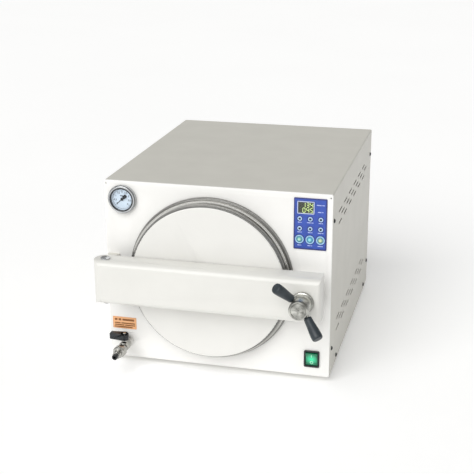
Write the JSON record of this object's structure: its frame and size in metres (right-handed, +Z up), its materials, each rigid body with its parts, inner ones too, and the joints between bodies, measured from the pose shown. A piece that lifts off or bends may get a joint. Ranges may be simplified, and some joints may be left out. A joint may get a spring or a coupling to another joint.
{
  "type": "benchtop autoclave",
  "caption": "Benchtop steam autoclave: horizontal round chamber, swing-out door on a clamp arm, tray rack, pressure gauge, push buttons and drain valve.",
  "frame": {"origin": "middle of the bounding box, on the bench under the feet", "axes": "+Z up, +Y from the door to the rear, +X to the right of someone facing the door"},
  "size_m": [0.4619, 0.7063, 0.384],
  "materials": {
    "white_paint": "semi-gloss enamel",
    "grey_paint": "satin enamel",
    "stainless": "turned and brushed",
    "chrome": "polished",
    "nickel": "nickel-plated brass",
    "steel": "machined",
    "zinc_screw": "plated",
    "brass": "turned",
    "copper": "drawn tube",
    "black_plastic": "moulded",
    "grip_plastic": "moulded phenolic",
    "foot_rubber": "moulded",
    "silicone": "moulded silicone",
    "overlay_blue": "printed polyester film",
    "display_dark": "tinted window",
    "lens": "clear moulding",
    "key": "moulded key",
    "rocker_green": "translucent, lit",
    "dial_white": "printed enamel",
    "pointer_black": "matt black",
    "clear_glass": "clear",
    "label_orange": "printed film",
    "board_green": "solder mask",
    "glass_wool": "felt",
    "tank_plastic": "moulded polypropylene",
    "wire_black": "sleeved cable",
    "varnished_steel": "varnished"
  },
  "bodies": {
    "casing": {"outer_cover": "grey_paint", "front_panel": "white_paint", "rear_panel": "grey_paint", "base_plate": "grey_paint", "feet": "foot_rubber", "case_screws": "zinc_screw", "chamber": "stainless", "chamber_head": "stainless", "chamber_flange": "stainless", "panel_collar": "stainless", "insulation_jacket": "glass_wool", "heater_band": "varnished_steel", "chamber_cradles": "grey_paint", "tray_rack": "stainless", "chamber_probes": "steel", "water_tank": "tank_plastic", "solenoid_valves": "black_plastic", "copper_pipes": "copper", "gauge_case": "chrome", "gauge_dial": "dial_white", "gauge_glass": "clear_glass", "control_overlay": "overlay_blue", "display_window": "display_dark", "indicator_lenses": "lens", "control_board": "board_green", "switch_bezel": "black_plastic", "label_plate": "label_orange", "hinge_bracket": "grey_paint", "hinge_bushes": "brass", "latch_keeper": "white_paint", "drain_tailpiece": "nickel", "drain_valve_body": "nickel", "drain_outlet": "black_plastic", "power_inlet": "black_plastic", "fuse_holders": "black_plastic", "transformer": "varnished_steel", "wiring_harness": "wire_black", "safety_valve": "brass"},
    "door_arm": {"arm_shell": "white_paint", "arm_beam": "steel", "hinge_pin": "chrome", "door_plate": "stainless", "door_cover": "white_paint", "door_seal": "silicone", "door_stud": "steel"},
    "clamp_slider": {"clamp_sleeve": "brass"},
    "clamp_knob": {"clamp_screw": "steel", "clamp_hub": "chrome", "clamp_grips": "grip_plastic"},
    "drain_handle": {"drain_lever": "black_plastic", "drain_ball": "steel"},
    "rocker": {"switch_rocker": "rocker_green"},
    "button_left": {"button_left": "key"},
    "button_middle": {"button_middle": "key"},
    "button_right": {"button_right": "key"},
    "pointer": {"gauge_pointer": "pointer_black"},
    "tray_low": {"tray_low": "stainless"},
    "tray_middle": {"tray_middle": "stainless"},
    "tray_high": {"tray_high": "stainless"},
    "safety_pull": {"safety_ring": "chrome"}
  },
  "joints": [
    {"name": "door_swing", "type": "hinge", "parent": "casing", "child": "door_arm", "pos_m": [-0.207, -0.26903, 0.198], "axis": [0, 0, -1], "range_deg": [0, 100]},
    {"name": "clamp_travel", "type": "slide", "parent": "door_arm", "child": "clamp_slider", "axis": [0, -1, 0], "range_m": [0, 0.006]},
    {"name": "clamp_turn", "type": "hinge", "parent": "clamp_slider", "child": "clamp_knob", "pos_m": [0.1855, -0.31353, 0.198], "axis": [0, -1, 0], "range_deg": [0, 720]},
    {"name": "drain_turn", "type": "hinge", "parent": "casing", "child": "drain_handle", "pos_m": [-0.187, -0.23653, 0.046], "axis": [0, 0, 1], "range_deg": [0, 90]},
    {"name": "switch_rock", "type": "hinge", "parent": "casing", "child": "rocker", "pos_m": [0.1908, -0.20953, 0.0485], "axis": [-1, 0, 0], "range_deg": [0, 16]},
    {"name": "press_left", "type": "slide", "parent": "casing", "child": "button_left", "axis": [0, 1, 0], "range_m": [0, 0.0008], "stiffness_N_per_m": 400, "springref_m": -0.001},
    {"name": "press_middle", "type": "slide", "parent": "casing", "child": "button_middle", "axis": [0, 1, 0], "range_m": [0, 0.0008], "stiffness_N_per_m": 400, "springref_m": -0.001},
    {"name": "press_right", "type": "slide", "parent": "casing", "child": "button_right", "axis": [0, 1, 0], "range_m": [0, 0.0008], "stiffness_N_per_m": 400, "springref_m": -0.001},
    {"name": "gauge_turn", "type": "hinge", "parent": "casing", "child": "pointer", "pos_m": [-0.1875, -0.21353, 0.348], "axis": [0, 1, 0], "range_deg": [0, 265], "stiffness_Nm_per_rad": 0.0005, "springref_deg": -11.46},
    {"name": "slide_low", "type": "slide", "parent": "casing", "child": "tray_low", "axis": [0, 1, 0], "range_m": [0, 0.04]},
    {"name": "slide_middle", "type": "slide", "parent": "casing", "child": "tray_middle", "axis": [0, 1, 0], "range_m": [0, 0.04]},
    {"name": "slide_high", "type": "slide", "parent": "casing", "child": "tray_high", "axis": [0, 1, 0], "range_m": [0, 0.04]},
    {"name": "safety_lift", "type": "slide", "parent": "casing", "child": "safety_pull", "axis": [0, 1, 0], "range_m": [0, 0.003], "stiffness_N_per_m": 2000, "springref_m": -0.004}
  ],
  "couplings": [
    {"joint": "clamp_travel", "follows": "clamp_turn", "m_per_rad": 0.00047746}
  ]
}
